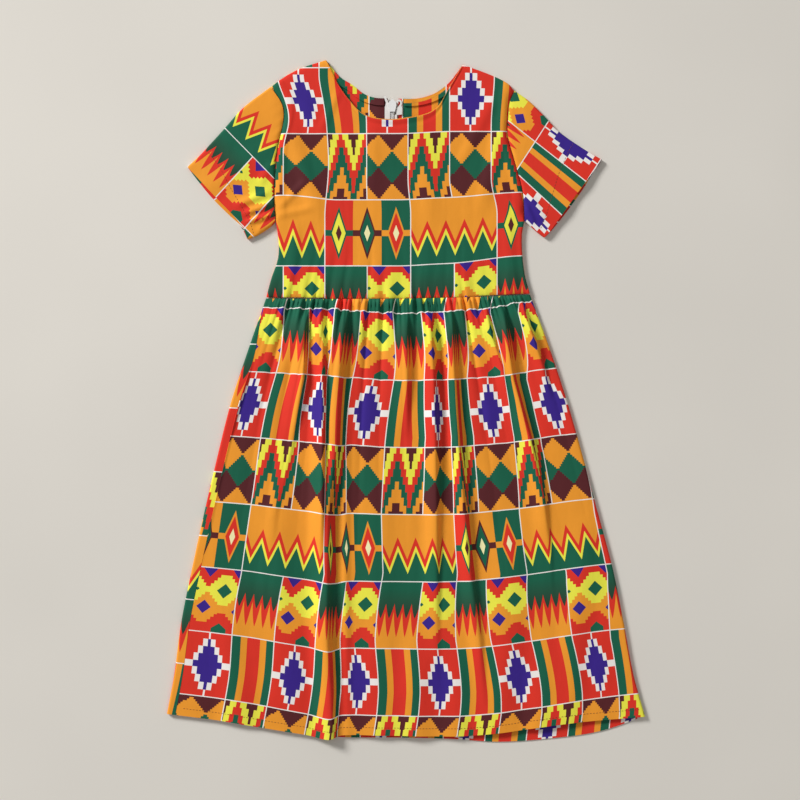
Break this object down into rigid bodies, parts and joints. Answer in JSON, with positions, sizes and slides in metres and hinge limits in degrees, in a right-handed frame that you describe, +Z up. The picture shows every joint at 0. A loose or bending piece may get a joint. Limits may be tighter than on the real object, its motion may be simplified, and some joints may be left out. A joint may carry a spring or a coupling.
{
  "type": "short-sleeved gathered dress laid flat",
  "caption": "Child's short-sleeved dress with a round neck, gathered skirt, geometric block print and a back zip, laid flat on its back.",
  "frame": {"origin": "on the surface the dress lies on, under the middle of its bounding box", "axes": "+Y towards the neck, +X towards the viewer's right as the front is seen from above, +Z up, away from the surface"},
  "size_m": [0.5257, 0.7492, 0.0117],
  "materials": {
    "printed_cloth": "plain-woven cotton with a bright block print, slight sheen",
    "zip_tape_cloth": "white woven polyester tape",
    "zip_nylon": "white nylon coil",
    "zip_enamel": "white enamelled zinc"
  },
  "bodies": {
    "dress": {"bodice_front": "printed_cloth", "bodice_back_left": "printed_cloth", "bodice_back_right": "printed_cloth", "sleeve_left": "printed_cloth", "sleeve_right": "printed_cloth", "skirt_front": "printed_cloth", "skirt_back": "printed_cloth", "neck_facing_left": "printed_cloth", "neck_facing_right": "printed_cloth", "zip_tape_left": "zip_tape_cloth", "zip_tape_right": "zip_tape_cloth", "zip_chain": "zip_nylon", "zip_slider": "zip_enamel"},
    "pull": {"zip_pull": "zip_enamel"}
  },
  "joints": [
    {"name": "pull_swing", "type": "hinge", "parent": "dress", "child": "pull", "pos_m": [-0.015, 0.3224, 0.00135], "axis": [1, 0, 0], "range_deg": [0, 120]}
  ]
}
